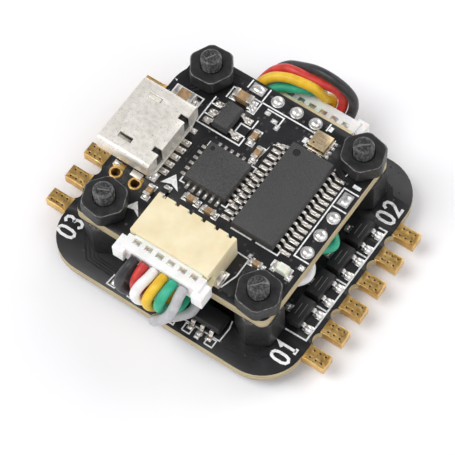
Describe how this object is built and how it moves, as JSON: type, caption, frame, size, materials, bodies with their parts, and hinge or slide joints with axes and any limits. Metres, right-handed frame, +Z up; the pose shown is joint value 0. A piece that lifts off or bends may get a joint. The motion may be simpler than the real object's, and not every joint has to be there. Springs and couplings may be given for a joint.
{
  "type": "flight controller board",
  "caption": "Small square flight controller stacked on a motor driver board with nylon spacers, nuts, a USB socket and a short lead harness.",
  "frame": {"origin": "under the middle of the driver board, level with the undersides of the screw heads", "axes": "+Z up through the stack, +Y towards the driver board's own connector, -X towards the USB socket"},
  "size_m": [0.0296, 0.0285, 0.0105],
  "materials": {
    "solder_mask": "black gloss solder mask over copper, cream glass-fibre edge",
    "nylon": "black moulded nylon, satin",
    "steel": "tin-plated pressed steel, fine grain",
    "cream_plastic": "cream moulded connector plastic",
    "white_plastic": "white moulded connector plastic",
    "epoxy": "black moulding compound, fine matt",
    "gold_lid": "gold-plated sensor lid, satin",
    "ceramic": "tan ceramic with tinned ends",
    "lamp": "pale lamp package, clear lens",
    "lead_black": "black silicone insulation",
    "lead_red": "red silicone insulation",
    "lead_white": "white silicone insulation",
    "lead_yellow": "yellow silicone insulation",
    "lead_green": "green silicone insulation",
    "lead_grey": "pale grey silicone insulation"
  },
  "bodies": {
    "stack": {"motor_driver_board": "solder_mask", "driver_header": "cream_plastic", "transistor_right_1": "epoxy", "transistor_right_2": "epoxy", "transistor_right_3": "epoxy", "transistor_right_4": "epoxy", "transistor_left_1": "epoxy", "transistor_left_2": "epoxy", "transistor_left_3": "epoxy", "transistor_left_4": "epoxy", "bus_regulator": "epoxy", "motor_processor_1": "epoxy", "motor_processor_2": "epoxy", "motor_processor_3": "epoxy", "motor_processor_4": "epoxy", "controller_board": "solder_mask", "controller_header": "cream_plastic", "usb_socket_shell": "steel", "usb_socket_tongue": "cream_plastic", "video_chip": "epoxy", "motion_sensor": "epoxy", "pressure_sensor": "gold_lid", "voltage_regulator": "epoxy", "status_lamp": "lamp", "microcontroller": "epoxy", "usb_capacitor": "ceramic", "input_capacitor": "ceramic", "supply_capacitor_1": "ceramic", "supply_capacitor_2": "ceramic", "sensor_capacitor_1": "ceramic", "sensor_capacitor_2": "ceramic", "port_capacitor": "ceramic", "port_resistor": "epoxy", "lamp_capacitor": "ceramic", "lead_black": "lead_black", "lead_red": "lead_red", "lead_white": "lead_white", "lead_yellow": "lead_yellow", "lead_green": "lead_green", "lead_grey": "lead_grey", "screw_front_left": "nylon", "spacer_front_left": "nylon", "screw_front_right": "nylon", "spacer_front_right": "nylon", "screw_rear_left": "nylon", "spacer_rear_left": "nylon", "screw_rear_right": "nylon", "spacer_rear_right": "nylon"},
    "nut_front_left": {"nut_front_left": "nylon"},
    "nut_front_right": {"nut_front_right": "nylon"},
    "nut_rear_left": {"nut_rear_left": "nylon"},
    "nut_rear_right": {"nut_rear_right": "nylon"},
    "controller_plug": {"controller_plug": "white_plastic"},
    "driver_plug": {"driver_plug": "white_plastic"}
  },
  "joints": [
    {"name": "nut_front_left_turn", "type": "hinge", "parent": "stack", "child": "nut_front_left", "pos_m": [-0.008, -0.0078, 0.0083], "axis": [0, 0, 1], "range_deg": [0, 2700]},
    {"name": "nut_front_right_turn", "type": "hinge", "parent": "stack", "child": "nut_front_right", "pos_m": [0.008, -0.0078, 0.0083], "axis": [0, 0, 1], "range_deg": [0, 2700]},
    {"name": "nut_rear_left_turn", "type": "hinge", "parent": "stack", "child": "nut_rear_left", "pos_m": [-0.008, 0.0082, 0.0083], "axis": [0, 0, 1], "range_deg": [0, 2700]},
    {"name": "nut_rear_right_turn", "type": "hinge", "parent": "stack", "child": "nut_rear_right", "pos_m": [0.008, 0.0082, 0.0083], "axis": [0, 0, 1], "range_deg": [0, 2700]},
    {"name": "controller_plug_pull", "type": "slide", "parent": "stack", "child": "controller_plug", "axis": [0, -1, 0], "range_m": [0, 0.0018], "deforming": ["lead_black", "lead_red", "lead_white", "lead_yellow", "lead_green", "lead_grey"]},
    {"name": "driver_plug_pull", "type": "slide", "parent": "stack", "child": "driver_plug", "axis": [0, 1, 0], "range_m": [0, 0.0018], "deforming": ["lead_black", "lead_red", "lead_white", "lead_yellow", "lead_green", "lead_grey"]}
  ]
}
